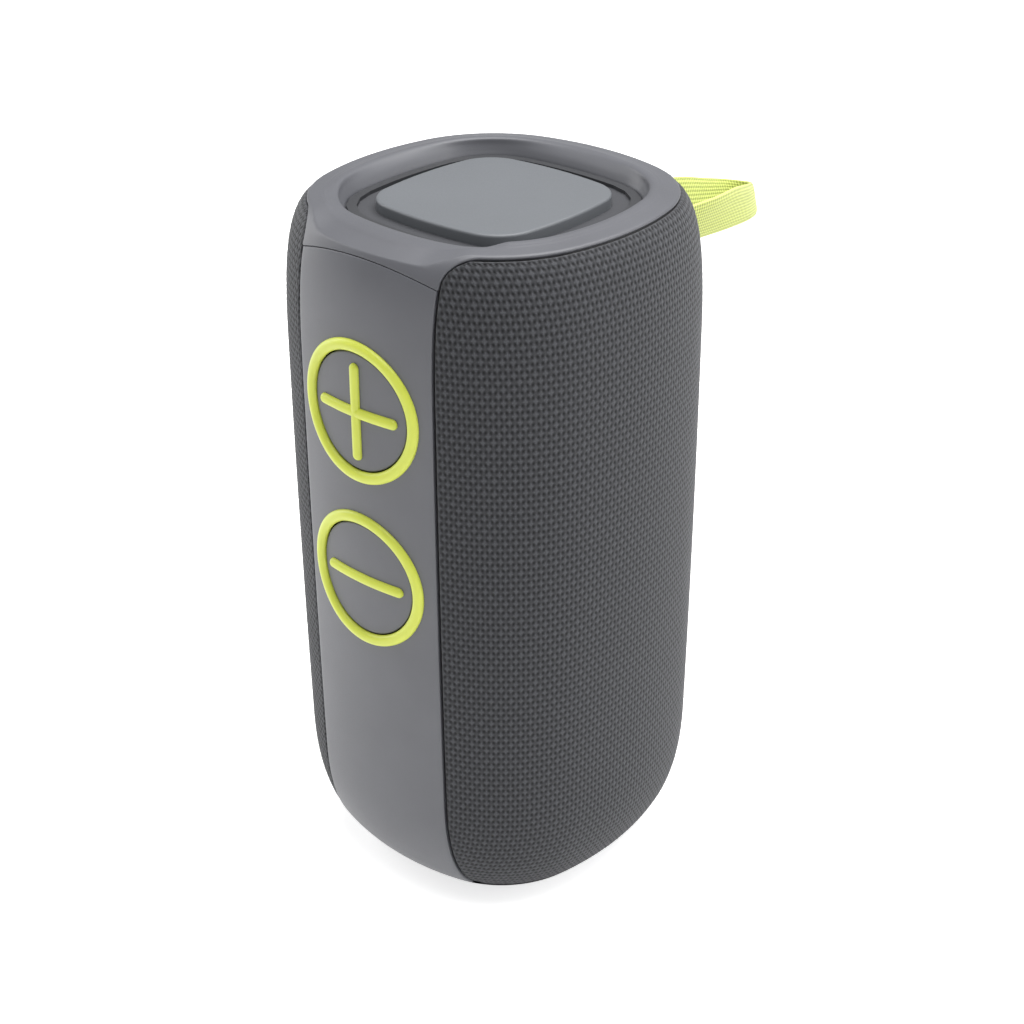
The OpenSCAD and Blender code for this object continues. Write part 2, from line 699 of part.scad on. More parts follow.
module driver_screws() color("silver")
    for (side = [LEFT, RIGHT]) driver_axis(side) driver_screw_places() {
        translate([0, 0, baffle_x - 3.6])
            cylinder(r = board_screw_r, h = 3.6 + flange_t, $fn = 24);
        translate([0, 0, baffle_x + flange_t]) cylinder(r = 1.3, h = 0.8, $fn = 24);
    }

// Battery -------------------------------------------------------------------
cell_foot = floor_top + cradle_t;
module battery_cells() color("#3c6fa8")
    for (x = [-cell_x, cell_x]) translate([x, 0, cell_foot]) {
        cylinder(r = cell_r, h = cell_l - 1, $fn = 64);
        cylinder(r = 3, h = cell_l, $fn = 48);
    }
module battery_cradle() color("#2a2b2d")
    difference() {
        block(-2 * cell_x - 1.5, 2 * cell_x + 1.5, -cell_r - 1.5, cell_r + 1.5,
            floor_top, cell_foot + cell_l / 3);
        for (x = [-cell_x, cell_x]) translate([x, 0, cell_foot])
            cylinder(r = cell_r + slip, h = FAR, $fn = 64);
        block(-FAR, FAR, -5, 5, cell_foot + 6, FAR);
    }

// Webbing loop and its pin ----------------------------------------------------
module loop_outline(pin_side_r, far_r) hull() {
    circle(pin_side_r, $fn = 48);
    translate([0, loop_reach - tip_r - pin_y]) circle(far_r, $fn = 48);
}
module strap() color("#c3d069")
    translate([0, pin_y, loop_z]) rotate([-loop_droop, 0, 0]) translate([0, 0, -web_w / 2])
        linear_extrude(web_w) difference() {
            loop_outline(pin_loop_r + web_t, tip_r);
            loop_outline(pin_loop_r, tip_r - web_t);
        }
module strap_pin() color("silver")
    translate([0, pin_y, loop_z - window_h / 2 - 1.5]) cylinder(r = pin_r, h = window_h + 3,
        $fn = 48);

module cloth_right() cloth(RIGHT);
module cloth_left() cloth(LEFT);
module grille_right() grille(RIGHT);
module grille_left() grille(LEFT);

top_rim();
front_strip();
rear_strip();
base_cap();
foot_pad();
housing();
cloth_right();
cloth_left();
grille_right();
grille_left();
radiator_frame();
radiator_surround();
radiator_plate();
radiator_weight();
plus_key();
plus_symbol();
plus_ring();
plus_plunger();
plus_switch();
minus_key();
minus_symbol();
minus_ring();
minus_plunger();
minus_switch();
button_board();
main_board();
board_chips();
usb_socket();
aux_socket();
power_key();
power_plunger();
power_switch();
led_lens();
port_cover();
right_basket();
right_magnet();
right_spider();
right_coil();
right_cone();
right_dustcap();
right_surround();
left_basket();
left_magnet();
left_spider();
left_coil();
left_cone();
left_dustcap();
left_surround();
driver_screws();
base_screws();
board_screws();
battery_cells();
battery_cradle();
strap();
strap_pin();
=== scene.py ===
"""Looks of the portable speaker: smooth shell, woven sides, lime trim and webbing, in the CAD frame."""
import json
import math
import bpy
import bmesh
import numpy as np
from mathutils import Matrix, Vector


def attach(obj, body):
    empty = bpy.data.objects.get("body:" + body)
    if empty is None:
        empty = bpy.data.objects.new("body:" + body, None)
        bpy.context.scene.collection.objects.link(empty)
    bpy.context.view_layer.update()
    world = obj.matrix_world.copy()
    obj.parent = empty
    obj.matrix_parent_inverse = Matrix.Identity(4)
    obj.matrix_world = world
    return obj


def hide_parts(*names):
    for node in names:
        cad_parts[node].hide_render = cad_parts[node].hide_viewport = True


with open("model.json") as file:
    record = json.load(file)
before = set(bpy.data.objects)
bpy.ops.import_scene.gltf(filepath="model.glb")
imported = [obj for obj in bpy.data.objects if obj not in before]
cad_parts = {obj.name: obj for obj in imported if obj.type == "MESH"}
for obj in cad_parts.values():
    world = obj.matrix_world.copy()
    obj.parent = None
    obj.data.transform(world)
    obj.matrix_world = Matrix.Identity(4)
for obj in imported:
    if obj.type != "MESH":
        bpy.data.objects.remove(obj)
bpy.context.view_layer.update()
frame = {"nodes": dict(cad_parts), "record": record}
scene = bpy.context.scene
MM = 0.001

# ---------------------------------------------------------------- camera
AZIMUTH, ELEVATION, ROLL = (math.radians(a) for a in (41.633, 28.577, -0.306))
CAMERA_AT = (243.889, -269.573, 276.265)


def make_camera():
    data = bpy.data.cameras.new("camera")
    data.lens = 67.79
    data.sensor_width = 36
    cam = bpy.data.objects.new("camera", data)
    scene.collection.objects.link(cam)
    back = Vector((math.sin(AZIMUTH) * math.cos(ELEVATION),
                   -math.cos(AZIMUTH) * math.cos(ELEVATION), math.sin(ELEVATION)))
    level = Vector((math.cos(AZIMUTH), math.sin(AZIMUTH), 0))
    over = back.cross(level)
    right = level * math.cos(ROLL) + over * math.sin(ROLL)
    up = over * math.cos(ROLL) - level * math.sin(ROLL)
    cam.matrix_world = Matrix.Translation(Vector(CAMERA_AT) * MM) @ \
        Matrix((right, up, back)).transposed().to_4x4()
    scene.camera = cam


make_camera()

# ---------------------------------------------------------------- the body's shape, in millimetres
BODY_H = 151.4
HALF_W = 40.0
SIDE_GROWTH = 21.5       # a side arc's radius less the half width
CORNER_GROWTH = -9.0     # a corner arc's radius less the half width
CREST_HALF = 28.7
SHOULDER_H, SHOULDER_N = 36.8, 3.7
FOOT_INSET, FOOT_ROLL, FOOT_N = 20.0, 31.3, 2.5
DRAFT, BARREL = 0.27, 0.6

CLOTH_FOOT, CLOTH_TOP, CLOTH_CORNER = 4.3, 150.05, 4.5
STRIP_HALF = 17.65
GAP = 0.4
ARCH_TOP, ARCH_R = 147.1, 63.0
STRIP_FOOT = 4.2
SHELL_FOOT = 0.6


def roll(t, n):
    return np.maximum(0, 1 - np.clip(t, 0, 1) ** n) ** (1 / n)


def body_half(z):
    """Half width of the outside at height z."""
    z = np.asarray(z, float)
    f = (z - BODY_H / 2) / (BODY_H / 2)
    up = (z - BODY_H + SHOULDER_H) / SHOULDER_H
    down = (FOOT_ROLL - z) / FOOT_ROLL
    half = np.where(up > 0, CREST_HALF + (HALF_W - CREST_HALF) * roll(up, SHOULDER_N),
                    np.where(down > 0, HALF_W - FOOT_INSET + FOOT_INSET * roll(down, FOOT_N), HALF_W))
    return half + DRAFT * f - BARREL * f * f


def ring(theta, half, side_r=None, corner_r=None):
    """Point of a rounded square whose outward normal points along theta, for arrays."""
    theta, half = np.broadcast_arrays(np.asarray(theta, float), np.asarray(half, float))
    rs = half + SIDE_GROWTH if side_r is None else np.broadcast_to(side_r, half.shape)
    rc = half + CORNER_GROWTH if corner_r is None else np.broadcast_to(corner_r, half.shape)
    k = rs - half
    c = (np.sqrt(8 * (rs - rc) ** 2 - 4 * k ** 2) - 2 * k) / 4
    s = np.arctan2(c, c + k)
    d = (theta + math.pi / 4) % (math.pi / 2) - math.pi / 4
    axis = theta - d
    on_side = np.abs(d) <= s
    forward = np.where(on_side, -k + rs * np.cos(d), c + rc * np.cos(d))
    across = np.where(on_side, rs * np.sin(d), np.sign(d) * c + rc * np.sin(d))
    return (forward * np.cos(axis) - across * np.sin(axis),
            forward * np.sin(axis) + across * np.cos(axis))


CORNER_C = (math.sqrt(8 * (SIDE_GROWTH - CORNER_GROWTH) ** 2 - 4 * SIDE_GROWTH ** 2)
            - 2 * SIDE_GROWTH) / 4
SIDE_ANGLE = math.atan2(CORNER_C, CORNER_C + SIDE_GROWTH)


def lean(x, half):
    """Angle of the normal from the nearest axis, at x across from that axis."""
    rs, rc = half + SIDE_GROWTH, half + CORNER_GROWTH
    flat = np.arcsin(np.clip(x / rs, -1, 1))
    bent = np.sign(x) * np.arcsin(np.clip((np.abs(x) - CORNER_C) / rc, -1, 1))
    return np.where(np.abs(flat) <= SIDE_ANGLE, flat, bent)


def on_body(theta, z, lift=0.0):
    """Points of the outside at height z with normals along theta, moved out by lift."""
    theta, z, lift = np.broadcast_arrays(theta, z, lift)
    half = body_half(z)
    slope = (body_half(z + 0.01) - body_half(z - 0.01)) / 0.02
    slope = np.clip(slope, -6, 6)
    size = np.sqrt(1 + slope ** 2)
    x, y = ring(theta, half)
    return np.stack([x + lift * np.cos(theta) / size, y + lift * np.sin(theta) / size,
                     z - lift * slope / size], axis=-1)


def tucked(e, r):
    """How far an edge's quarter round has sunk, at distance e from that edge."""
    return r - np.sqrt(np.maximum(0, r * r - np.clip(r - e, 0, r) ** 2))


# ---------------------------------------------------------------- mesh helpers
def new_object(name, mesh, body, replaces, material):
    obj = bpy.data.objects.new(name, mesh)
    scene.collection.objects.link(obj)
    mesh.materials.clear()
    mesh.materials.append(material)
    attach(obj, body)
    if replaces:
        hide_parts(*replaces)
    return obj


def grid_mesh(name, points, close_rows=False, close_columns=False, flip=False, caps=(), **attributes):
    """A quad mesh over points[row, column] in millimetres. caps names the end rows to fill."""
    rows, columns = points.shape[:2]
    index = np.arange(rows * columns).reshape(rows, columns)
    r = np.arange(rows if close_rows else rows - 1)
    c = np.arange(columns if close_columns else columns - 1)
    r0, c0 = np.meshgrid(r, c, indexing="ij")
    r1, c1 = (r0 + 1) % rows, (c0 + 1) % columns
    quads = np.stack([index[r0, c0], index[r0, c1], index[r1, c1], index[r1, c0]], -1).reshape(-1, 4)
    faces = quads.tolist()
    if "first" in caps:
        faces.append(index[0, ::-1].tolist())
    if "last" in caps:
        faces.append(index[-1].tolist())
    if flip:
        faces = [f[::-1] for f in faces]
    mesh = bpy.data.meshes.new(name)
    mesh.from_pydata((points.reshape(-1, 3) * MM).tolist(), [], faces)
    for key, values in attributes.items():
        layer = mesh.attributes.new(key, "FLOAT_VECTOR", "POINT")
        layer.data.foreach_set("vector", values.reshape(-1).astype(np.float32))
    finish_mesh(mesh)
    return mesh


def finish_mesh(mesh, sharp=35):
    bm = bmesh.new()
    bm.from_mesh(mesh)
    bmesh.ops.remove_doubles(bm, verts=bm.verts, dist=1e-6)
    bmesh.ops.dissolve_degenerate(bm, edges=bm.edges, dist=1e-7)
    bm.to_mesh(mesh)
    bm.free()
    mesh.shade_smooth()
    mesh.set_sharp_from_angle(angle=math.radians(sharp))
    mesh.update()


def joined(name, meshes):
    bm = bmesh.new()
    for m in meshes:
        bm.from_mesh(m)
    mesh = bpy.data.meshes.new(name)
    bm.to_mesh(mesh)
    bm.free()
    finish_mesh(mesh)
    return mesh


def cut(mesh, cutters, operation="DIFFERENCE"):
    """The mesh less the cutters, by exact booleans."""
    base = bpy.data.objects.new("base", mesh)
    scene.collection.objects.link(base)
    tools = []
    for m in cutters:
        tool = bpy.data.objects.new("cutter", m)
        scene.collection.objects.link(tool)
        tools.append(tool)
        mod = base.modifiers.new("cut", "BOOLEAN")
        mod.operation = operation
        mod.solver = "EXACT"
        mod.object = tool
    graph = bpy.context.evaluated_depsgraph_get()
    result = bpy.data.meshes.new_from_object(base.evaluated_get(graph), preserve_all_data_layers=True,
                                             depsgraph=graph)
    for o in [base, *tools]:
        bpy.data.objects.remove(o)
    finish_mesh(result)
    return result


def prism_y(outline, y0, y1):
    """A closed prism along Y over (x, z) points given counterclockwise as seen from -Y."""
    outline = np.asarray(outline, float)
    rows = [np.column_stack([outline[:, 0], np.full(len(outline), y), outline[:, 1]]) for y in (y0, y1)]
    return grid_mesh("prism", np.stack(rows), close_columns=True, caps=("first", "last"), flip=y1 > y0)


def circle(x, z, r, count=96):
    a = np.linspace(0, 2 * math.pi, count, endpoint=False)
    return np.column_stack([x + r * np.cos(a), z + r * np.sin(a)])


def rounded_box(x, z, w, h, r, steps=8):
    points = []
    for quarter, (sx, sz) in enumerate([(1, 1), (-1, 1), (-1, -1), (1, -1)]):
        a = np.linspace(quarter, quarter + 1, steps) * math.pi / 2
        points.append(np.column_stack([x + sx * (w / 2 - r) + r * np.cos(a),
                                       z + sz * (h / 2 - r) + r * np.sin(a)]))
    return np.concatenate(points)


# ---------------------------------------------------------------- materials
def srgb(*c):
    return tuple(((v / 255 + 0.055) / 1.055) ** 2.4 if v > 10 else v / 255 / 12.92 for v in c)


class Nodes:
    """A short hand for building one material's nodes."""

    def __init__(self, name, **sockets):
        self.material = bpy.data.materials.new(name)
        self.material.use_nodes = True
        self.tree = self.material.node_tree
        self.shader = self.tree.nodes["Principled BSDF"]
        for key, value in sockets.items():
            self.shader.inputs[key.replace("_", " ")].default_value = value

    def node(self, kind, inputs=None, **settings):
        n = self.tree.nodes.new(kind)
        for key, value in settings.items():
            setattr(n, key, value)
        for key, value in (inputs or {}).items():
            if isinstance(value, bpy.types.NodeSocket):
                self.tree.links.new(value, n.inputs[key])
            else:
                n.inputs[key].default_value = value
        return n

    def math(self, operation, a, b=0.0, clamp=False):
        n = self.node("ShaderNodeMath", {0: a, 1: b}, operation=operation, use_clamp=clamp)
        return n.outputs[0]

    def object_point(self):
        return self.node("ShaderNodeTexCoord").outputs["Object"]

    def noise(self, scale, detail=3.0, vector=None, roughness=0.5):
        n = self.node("ShaderNodeTexNoise", {"Scale": scale, "Detail": detail, "Roughness": roughness,
                                             "Vector": vector or self.object_point()})
        return n.outputs["Fac"]

    def mix(self, factor, a, b):
        n = self.node("ShaderNodeMix", data_type="RGBA")
        for socket, value in ((n.inputs["Factor"], factor), (n.inputs[6], a), (n.inputs[7], b)):
            if isinstance(value, bpy.types.NodeSocket):
                self.tree.links.new(value, socket)
            else:
                socket.default_value = value if isinstance(value, float) else (*value, 1)
        return n.outputs[2]

    def remap(self, value, low, high, to_low, to_high):
        n = self.node("ShaderNodeMapRange", {"Value": value, "From Min": low, "From Max": high,
                                             "To Min": to_low, "To Max": to_high})
        return n.outputs[0]

    def link(self, output, key):
        self.tree.links.new(output, self.shader.inputs[key])

    def bump(self, height, distance, strength=1.0):
        n = self.node("ShaderNodeBump", {"Height": height, "Distance": distance, "Strength": strength})
        self.link(n.outputs["Normal"], "Normal")


def plastic(name, colour, roughness, grain=0.00002, blotch=0.06, scale=4500.0, **sockets):
    """Moulded plastic: spark-eroded grain, slight uneven colour and gloss."""
    m = Nodes(name, **sockets)
    cloud = m.noise(55.0, 4.0)
    dark = tuple(v * (1 - blotch) for v in colour)
    light = tuple(min(1, v * (1 + blotch)) for v in colour)
    m.link(m.mix(m.remap(cloud, 0.3, 0.7, 0.0, 1.0), dark, light), "Base Color")
    fine = m.noise(scale, 2.0)
    m.link(m.remap(fine, 0.3, 0.7, roughness - 0.04, roughness + 0.04), "Roughness")
    m.bump(fine, grain, 0.5)
    return m.material


def metal(name, colour, roughness):
    m = Nodes(name, Metallic=1.0)
    grain = m.noise(900.0, 3.0)
    m.link(m.mix(grain, tuple(v * 0.85 for v in colour), colour), "Base Color")
    m.link(m.remap(grain, 0.3, 0.7, roughness - 0.05, roughness + 0.05), "Roughness")
    m.bump(grain, 0.00001, 0.4)
    return m.material


WARP_PITCH, WEFT_PITCH = 1.0, 1.35     # millimetres between threads
WEFT_COLOUR = srgb(79, 80, 84)
WARP_COLOUR = srgb(62, 63, 66)
# Near black for the gaps between threads: partly the dark inside seen through them, partly painted shade in the
# crevices.
GAP_AND_SHADE_COLOUR = srgb(24, 24, 26)


def cloth_material():
    """Plain weave of a light weft over a dark warp, its gaps painted near black: partly the dark inside seen through
    them, partly painted shade in the crevices. The attribute gives millimetres on the cloth.
    """
    m = Nodes("speaker_cloth", Roughness=0.85, Sheen_Weight=0.15, Sheen_Roughness=0.5,
              Specular_IOR_Level=0.25)
    split = m.node("ShaderNodeSeparateXYZ",
                   {0: m.node("ShaderNodeAttribute", attribute_name="cloth").outputs["Vector"]})
    u, v = split.outputs[0], split.outputs[1]
    wobble = m.math("MULTIPLY", m.math("SUBTRACT", m.noise(700.0, 2.0), 0.5), 0.35)
    a = m.math("MULTIPLY", m.math("ADD", u, wobble), math.pi / WARP_PITCH)
    b = m.math("MULTIPLY", m.math("ADD", v, wobble), math.pi / WEFT_PITCH)
    knot = m.math("MULTIPLY", m.math("COSINE", a), m.math("COSINE", b))
    over = m.remap(knot, -0.35, 0.25, 1.0, 0.0)
    threads = m.mix(over, WARP_COLOUR, WEFT_COLOUR)
    # Darkest where both threads sink: partly the dark inside seen through the gaps, partly painted shade in the
    # crevices.
    sines = m.math("MULTIPLY", m.math("SINE", a), m.math("SINE", b))
    gap_and_shade = m.math("POWER", m.math("ABSOLUTE", sines), 1.3)
    fibre = m.noise(3800.0, 2.0)
    shade = m.math("MULTIPLY", m.math("SUBTRACT", 1.0, gap_and_shade, clamp=True),
                   m.remap(fibre, 0.3, 0.7, 0.8, 1.15), clamp=True)
    m.link(m.mix(shade, GAP_AND_SHADE_COLOUR, threads), "Base Color")
    m.bump(m.math("ADD", m.math("MULTIPLY", fibre, 0.3), m.math("MULTIPLY", shade, 0.7)), 0.00012, 0.6)
    return m.material


LIME = srgb(214, 224, 84)
LIME_WEB_LIGHT = srgb(222, 232, 132)
# Darker lime for the hollows between the knots: painted shade.
LIME_WEB_HOLLOW_SHADE = srgb(140, 150, 66)
RIB_PITCH = 1.5


def webbing_material():
    """Knitted webbing: ribs across, knots in staggered rows, their hollows painted a darker lime as shade. The
    attribute gives millimetres on it.
    """
    m = Nodes("webbing", Roughness=0.8, Sheen_Weight=0.3, Specular_IOR_Level=0.2)
    split = m.node("ShaderNodeSeparateXYZ",
                   {0: m.node("ShaderNodeAttribute", attribute_name="cloth").outputs["Vector"]})
    a = m.math("MULTIPLY", split.outputs[0], 2 * math.pi / RIB_PITCH)
    b = m.math("MULTIPLY", split.outputs[1], 2 * math.pi / (RIB_PITCH * 1.1))
    knot = m.math("MULTIPLY", m.math("COSINE", m.math("ADD", a, b)),
                  m.math("COSINE", m.math("SUBTRACT", a, b)))
    fibre = m.noise(3000.0, 2.0)
    # Low between the knots: the bump sinks there and the colour darkens as painted shade.
    level = m.math("ADD", m.remap(knot, -0.9, 0.5, 0.0, 0.85), m.math("MULTIPLY", fibre, 0.2), clamp=True)
    m.link(m.mix(level, LIME_WEB_HOLLOW_SHADE, LIME_WEB_LIGHT), "Base Color")
    m.bump(level, 0.0002, 0.7)
    return m.material


SHELL = plastic("shell", srgb(92, 93, 98), 0.42)
PLATE = plastic("plate", srgb(102, 105, 109), 0.45, blotch=0.02)
ACCENT = plastic("accent", LIME, 0.38, blotch=0.02)
INNER = plastic("inner_plastic", srgb(54, 55, 58), 0.5)
RUBBER = plastic("soft_rubber", srgb(64, 65, 69), 0.6, scale=2500.0)
FOOT = plastic("foot_rubber", srgb(44, 44, 46), 0.75, scale=1800.0, grain=0.00005)
GRILLE = plastic("grille", srgb(24, 24, 26), 0.6)
CLOTH = cloth_material()
WEBBING = webbing_material()
LENS = Nodes("lens", Roughness=0.1, Transmission_Weight=0.6, Base_Color=(0.86, 0.9, 0.92, 1)).material
SLOT_MATERIALS = {
    "shell": SHELL, "cloth": CLOTH, "grille": GRILLE, "accent": ACCENT, "webbing": WEBBING, "plate": PLATE,
    "soft_rubber": RUBBER, "foot_rubber": FOOT, "inner_plastic": INNER, "lens": LENS,
    "steel": metal("steel", srgb(178, 180, 184), 0.35),
    "ferrite": plastic("ferrite", srgb(74, 76, 80), 0.55),
    "circuit_board": plastic("circuit_board", srgb(31, 90, 52), 0.35, blotch=0.1),
    "chip": plastic("chip", srgb(36, 37, 40), 0.5),
    "copper": metal("copper", srgb(196, 125, 70), 0.3),
    "spider_cloth": plastic("spider_cloth", srgb(200, 162, 90), 0.9, scale=1500.0, grain=0.0001),
    "paper": plastic("paper", srgb(29, 29, 31), 0.8, scale=900.0, grain=0.00006),
    "cell_sleeve": plastic("cell_sleeve", srgb(60, 111, 168), 0.25),
}


def dress_cad_nodes():
    for part in frame["record"]["subparts"]:
        obj = frame["nodes"][part["node"]]
        obj.data.materials.clear()
        obj.data.materials.append(SLOT_MATERIALS[part["material_slot"]])


dress_cad_nodes()

# ---------------------------------------------------------------- fabric sides
EDGE_STEPS = np.array([0.0, 0.04, 0.1, 0.19, 0.32])
EDGE_ROLL = 0.7
THREAD_LIFT, THREAD_ROUND = 0.09, 0.13


def weave_height(u, v):
    """Height of a plain weave's surface at (u, v) millimetres."""
    a, b = math.pi * u / WARP_PITCH, math.pi * v / WEFT_PITCH
    warp_sign = np.where(np.round(u / WARP_PITCH) % 2 == 0, 1, -1)
    weft_sign = np.where(np.round(v / WEFT_PITCH) % 2 == 0, 1, -1)
    warp = THREAD_LIFT * warp_sign * np.cos(b) - THREAD_ROUND * np.sin(a) ** 2
    weft = -THREAD_LIFT * weft_sign * np.cos(a) - THREAD_ROUND * np.sin(b) ** 2
    return np.maximum(warp, weft)


def profile_lengths(z0, z1, count=4000):
    z = np.linspace(z0, z1, count)
    return z, np.concatenate([[0], np.cumsum(np.hypot(np.diff(z), np.diff(body_half(z))))])


def with_edges(total, spacing):
    """Places from 0 to total, closer together near both ends."""
    inner = np.linspace(0.5, total - 0.5, int((total - 1) / spacing))
    return np.concatenate([[0], EDGE_STEPS, inner, total - EDGE_STEPS[::-1], [total]])


def cloth_side(name, sign, node):
    z_table, length_table = profile_lengths(CLOTH_FOOT, CLOTH_TOP)
    v = with_edges(length_table[-1], WEFT_PITCH / 4)
    z = np.interp(v, length_table, z_table)
    half = body_half(z)
    r = CLOTH_CORNER
    into_corner = np.clip(np.maximum(z - (CLOTH_TOP - r), CLOTH_FOOT + r - z), 0, r)
    x_edge = STRIP_HALF + GAP + r - np.sqrt(r * r - into_corner ** 2)
    lean_edge = math.pi / 2 - lean(x_edge, half)
    rs, rc = half + SIDE_GROWTH, half + CORNER_GROWTH
    side_length = rs * SIDE_ANGLE
    reach = side_length + rc * (lean_edge - SIDE_ANGLE)
    base = with_edges(2.0 * reach.max(), WARP_PITCH / 3) / (2.0 * reach.max())
    edge_count = len(EDGE_STEPS) + 1
    u = np.empty((len(z), len(base)))
    for i, whole in enumerate(2 * reach):
        inner = np.linspace(0.5, whole - 0.5, len(base) - 2 * edge_count)
        u[i] = np.concatenate([[0], EDGE_STEPS, inner, whole - EDGE_STEPS[::-1], [whole]]) - whole / 2
    rs, rc, side_length = rs[:, None], rc[:, None], side_length[:, None]
    size = np.abs(u)
    theta = np.sign(u) * np.where(size <= side_length, size / rs,
                                  SIDE_ANGLE + (size - side_length) / rc)
    to_side = reach[:, None] - size
    to_end = np.minimum(v, v[-1] - v)[:, None]
    edge = np.minimum(to_side, to_end)
    sunk = tucked(edge, EDGE_ROLL)
    outermost = np.zeros_like(edge, bool)
    outermost[[0, -1], :] = True
    outermost[:, [0, -1]] = True
    height = weave_height(u, v[:, None]) * np.clip(edge / 0.4, 0, 1) - sunk - 0.15
    height = np.where(outermost, -1.6, height)
    points = on_body(theta, z[:, None], height)
    points[..., 0] *= sign
    where = np.stack([u, np.broadcast_to(v[:, None], u.shape), np.zeros_like(u)], -1)
    mesh = grid_mesh(name, points, flip=sign < 0, cloth=where)
    obj = new_object(name, mesh, "root", [node], CLOTH)
    return obj


cloth_side("woven_side_right", 1, "cloth_right")
cloth_side("woven_side_left", -1, "cloth_left")

# ---------------------------------------------------------------- plastic strips
STRIP_T = 2.3
STRIP_ROLL = 0.35
SEAM_GAP, SEAM_ROLL = 0.12, 0.14     # between the strip's arched head and the rim


def arch(x, top=ARCH_TOP):
    return top - ARCH_R + np.sqrt(ARCH_R ** 2 - x * x)


def strip_mesh(front):
    """A closed curved slab from the foot to the arched seam."""
    edge = np.array([0, 0.03, 0.09, 0.18, 0.35])
    x = np.concatenate([edge - STRIP_HALF, np.linspace(0.9 - STRIP_HALF, STRIP_HALF - 0.9, 45),
                        STRIP_HALF - edge[::-1]])
    t = np.concatenate([edge / 140, np.linspace(0.008, 0.992, 170), 1 - edge[::-1] / 140])
    top = arch(x) - SEAM_GAP / 2
    z = STRIP_FOOT + t[:, None] * (top - STRIP_FOOT)
    to_edge = np.minimum((STRIP_HALF - np.abs(x))[None, :], z - STRIP_FOOT)
    out = -np.maximum(tucked(to_edge, STRIP_ROLL), tucked(top - z, SEAM_ROLL))
    theta = lean(np.broadcast_to(x, z.shape), body_half(z)) - math.pi / 2
    outer = on_body(theta, z, out)
    inner = on_body(theta, z, -STRIP_T)
    shell = joined("strip", [
        grid_mesh("outer", outer), grid_mesh("inner", inner, flip=True),
        grid_mesh("foot", np.stack([inner[0], outer[0]])),
        grid_mesh("head", np.stack([outer[-1], inner[-1]])),
        grid_mesh("left", np.stack([inner[:, 0], outer[:, 0]]), flip=True),
        grid_mesh("right", np.stack([outer[:, -1], inner[:, -1]]), flip=True)])
    bm = bmesh.new()
    bm.from_mesh(shell)
    bmesh.ops.remove_doubles(bm, verts=bm.verts, dist=2e-6)
    bmesh.ops.recalc_face_normals(bm, faces=bm.faces)
    if not front:
        bmesh.ops.rotate(bm, verts=bm.verts, cent=(0, 0, 0), matrix=Matrix.Rotation(math.pi, 3, "Z"))
    bm.to_mesh(shell)
    bm.free()
    finish_mesh(shell)
    return shell


PLUS_Z, MINUS_Z = 116.5, 79.5
RING_IN, RING_OUT = 12.55, 14.85
POWER_Z, POWER_R, LED_R = 62.0, 4.6, 1.2
PORT_Z, PORT_W, PORT_H, PORT_CORNER = 34.0, 26.0, 13.0, 3.0
LOOP_Z, WINDOW_W, WINDOW_H = 132.0, 11.2, 14.0

front = cut(strip_mesh(True), [prism_y(circle(0, z, RING_IN + 1), -20, -60) for z in (PLUS_Z, MINUS_Z)])
new_object("control_strip", front, "root", ["front_strip"], SHELL)
rear = cut(strip_mesh(False), [
    prism_y(rounded_box(0, LOOP_Z, WINDOW_W, WINDOW_H, 2.5), 20, 60),
    prism_y(rounded_box(0, PORT_Z, PORT_W + 0.6, PORT_H + 0.6, PORT_CORNER + 0.3), 20, 60),
    prism_y(circle(0, POWER_Z, POWER_R + 0.3, 64), 20, 60),
    prism_y(circle(0, POWER_Z + 12, LED_R, 32), 20, 60)])
new_object("back_strip", rear, "root", ["rear_strip"], SHELL)


# ---------------------------------------------------------------- keys, rings and symbols
def front_point(x, z, lift):
    half = body_half(z)
    return on_body(lean(x, half) - math.pi / 2, z, lift)


def disc_mesh(z0, radius, sink=2.5, facing=1.0, dish=0.0):
    """A key's face that follows the body, with a rounded rim and a skirt."""
    r = np.concatenate([np.linspace(0, radius - 0.5, 14),
                        radius - np.array([0.35, 0.2, 0.1, 0.03, 0])])
    sunk = tucked(radius - r, 0.35) + dish * np.cos(np.clip(r / radius, 0, 1) * math.pi / 2)
    r = np.append(r, radius)
    sunk = np.append(sunk, sink)
    a = np.linspace(0, 2 * math.pi, 97)[:-1]
    points = front_point(r[:, None] * np.cos(a), z0 + r[:, None] * np.sin(a), -sunk[:, None])
    points[..., :2] *= facing
    return grid_mesh("key", points, close_columns=True)


BEAD_W, BEAD_H = 1.2, 1.0
BEAD_TURN = np.radians(np.linspace(-25, 205, 19))


def ring_bead(z0):
    a = np.linspace(0, 2 * math.pi, 129)[:-1][:, None]
    middle = (RING_IN + RING_OUT) / 2
    r = middle + BEAD_W * np.cos(BEAD_TURN)
    lift = BEAD_H * np.sin(BEAD_TURN)
    points = front_point(r * np.cos(a), z0 + r * np.sin(a), np.broadcast_to(lift, (128, len(lift))))
    return grid_mesh("ring", points, close_rows=True, close_columns=True)


def bar_bead(z0, length, width, height, upright):
    """A round-ended raised bar: rings of a stadium outline that shrink to its middle line."""
    turn = np.radians(np.linspace(-20, 90, 12))[:, None]
    cap, straight = np.linspace(-90, 90, 17), np.linspace(1, -1, 16)[1:-1]
    one = np.ones(len(cap))
    a = np.radians(np.concatenate([cap, 90 + 0 * straight, cap + 180, 270 + 0 * straight]))
    spine = (length - width) / 2 * np.concatenate([one, straight, -one, -straight])
    along = spine + width / 2 * np.cos(turn) * np.cos(a)
    across = width / 2 * np.cos(turn) * np.sin(a)
    x, z = (across, along) if upright else (along, across)
    lift = np.broadcast_to(height * np.sin(turn), x.shape)
    return grid_mesh("bar", front_point(x, z0 + z, lift), close_columns=True, caps=("first",),
                     flip=upright)


